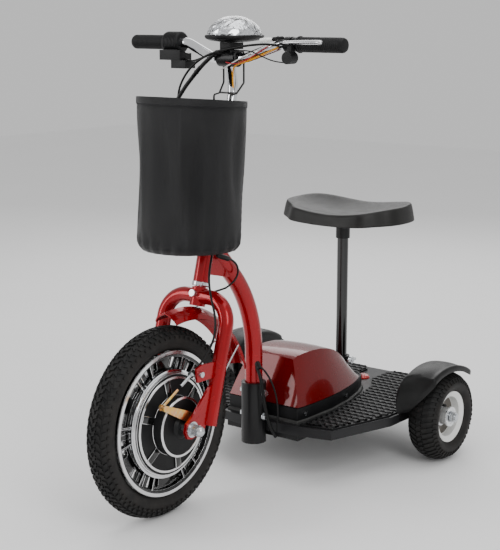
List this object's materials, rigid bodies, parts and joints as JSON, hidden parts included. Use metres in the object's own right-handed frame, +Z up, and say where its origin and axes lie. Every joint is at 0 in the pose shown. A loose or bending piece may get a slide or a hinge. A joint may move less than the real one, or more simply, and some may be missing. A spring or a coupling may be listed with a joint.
{
  "type": "mobility scooter",
  "caption": "Stand-and-sit electric scooter: large motor wheel in a raked fork, foot deck with a battery box, post-mounted saddle, hanging basket and small rear wheels.",
  "frame": {"origin": "on the floor, at the middle of the overall length and width", "axes": "+Z up, front wheel towards -Y, rider's left towards +X"},
  "size_m": [0.666, 1.1, 1.058],
  "materials": {
    "basket_cloth": "woven nylon",
    "black_paint": "satin",
    "black_plastic": "satin",
    "black_steel": "dark laminated",
    "button_plastic": "gloss",
    "cable_rubber": "smooth",
    "cast_wheel": "black with polished edges",
    "chrome_plate": "mirror",
    "clear_lens": "faceted clear",
    "gloss_black_paint": "gloss",
    "grip_rubber": "ribbed matt",
    "lever_alloy": "polished",
    "mat_rubber": "ribbed matt",
    "motor_case": "black satin",
    "rear_rim": "white gloss",
    "red_cover": "deep gloss",
    "red_paint": "candy metallic gloss",
    "reflector_red": "prismatic",
    "saddle_foam": "moulded satin",
    "tyre_rubber": "matt",
    "yellow_zinc": "yellow zinc",
    "zinc_steel": "zinc"
  },
  "bodies": {
    "chassis": {"main_tube": "red_paint", "head_tube": "red_paint", "headset_cups": "chrome_plate", "head_gusset": "red_paint", "tube_socket": "black_paint", "socket_bolts": "zinc_steel", "chassis_frame": "black_paint", "deck_platform": "black_paint", "deck_mats": "mat_rubber", "fender_left": "black_plastic", "fender_right": "black_plastic", "box_base": "black_plastic", "box_cover": "red_cover", "box_screws": "zinc_steel", "battery_pack": "black_plastic", "motor_controller": "motor_case", "rear_axle": "zinc_steel", "rear_axle_nuts": "zinc_steel", "seat_socket": "black_paint", "tail_reflector": "reflector_red", "harness_cables": "cable_rubber"},
    "seat": {"seat_post": "gloss_black_paint", "saddle": "saddle_foam", "saddle_bracket": "black_paint"},
    "clamp_knob": {"seat_clamp_knob": "zinc_steel"},
    "steering": {"fork": "red_paint", "fork_dropouts": "red_paint", "mudguard": "red_paint", "mudguard_stays": "zinc_steel", "stem": "chrome_plate", "bar_clamp": "black_paint", "handlebar": "chrome_plate", "grip_left": "grip_rubber", "throttle_housing": "black_plastic", "switch_box": "black_plastic", "brake_perch": "black_plastic", "horn_housing": "black_plastic", "headlight_base": "black_plastic", "headlight_lens": "clear_lens", "headlight_bracket": "black_plastic", "basket": "basket_cloth", "basket_hanger": "zinc_steel", "brake_cable": "cable_rubber", "cable_adjuster": "zinc_steel", "front_axle": "zinc_steel", "brake_plate": "motor_case", "motor_lead": "cable_rubber", "motor_stator": "black_steel"},
    "front_wheel_assembly": {"front_tyre": "tyre_rubber", "front_wheel": "cast_wheel", "motor_covers": "motor_case"},
    "rear_wheel_left": {"rear_tyre_left": "tyre_rubber", "rear_hub_left": "rear_rim"},
    "rear_wheel_right": {"rear_tyre_right": "tyre_rubber", "rear_hub_right": "rear_rim"},
    "throttle": {"throttle_grip": "grip_rubber"},
    "lever": {"brake_lever": "lever_alloy"},
    "arm": {"brake_arm": "yellow_zinc"},
    "horn": {"horn_button": "button_plastic"},
    "key_switch": {"key": "zinc_steel"}
  },
  "joints": [
    {"name": "steering", "type": "hinge", "parent": "chassis", "child": "steering", "pos_m": [0, -0.204, 0.481], "axis": [0, 0.2672, 0.9636], "range_deg": [-40, 40]},
    {"name": "front_wheel_spin", "type": "hinge", "parent": "steering", "child": "front_wheel_assembly", "pos_m": [0, -0.342, 0.208], "axis": [1, 0, 0], "continuous": true},
    {"name": "rear_left_spin", "type": "hinge", "parent": "chassis", "child": "rear_wheel_left", "pos_m": [0.289, 0.354, 0.108], "axis": [1, 0, 0], "continuous": true},
    {"name": "rear_right_spin", "type": "hinge", "parent": "chassis", "child": "rear_wheel_right", "pos_m": [-0.289, 0.354, 0.108], "axis": [1, 0, 0], "continuous": true},
    {"name": "throttle_twist", "type": "hinge", "parent": "steering", "child": "throttle", "pos_m": [-0.24, -0.085, 0.999], "axis": [-1, 0, 0], "range_deg": [0, 60], "stiffness_Nm_per_rad": 0.25, "springref_deg": -8.59},
    {"name": "brake_lever_squeeze", "type": "hinge", "parent": "steering", "child": "lever", "pos_m": [0.15, -0.119, 1.004], "axis": [0, 0, 1], "range_deg": [0, 11], "stiffness_Nm_per_rad": 2, "springref_deg": -5.73},
    {"name": "brake_arm_pull", "type": "hinge", "parent": "steering", "child": "arm", "pos_m": [0.074, -0.328, 0.228], "axis": [-1, 0, 0], "range_deg": [0, 6.7]},
    {"name": "horn_press", "type": "slide", "parent": "steering", "child": "horn", "axis": [0, -1, 0], "range_m": [0, 0.002], "stiffness_N_per_m": 400, "springref_m": -0.002},
    {"name": "key_turn", "type": "hinge", "parent": "steering", "child": "key_switch", "pos_m": [-0.134, -0.08, 0.952], "axis": [0, -1, 0], "range_deg": [0, 90]},
    {"name": "seat_height", "type": "slide", "parent": "chassis", "child": "seat", "axis": [0, 0, 1], "range_m": [0, 0.045]},
    {"name": "clamp_knob_turn", "type": "hinge", "parent": "chassis", "child": "clamp_knob", "pos_m": [0.031, 0.349, 0.204], "axis": [1, 0, 0], "range_deg": [-180, 0]}
  ],
  "couplings": [
    {"joint": "brake_arm_pull", "follows": "brake_lever_squeeze", "ratio": 0.6}
  ]
}
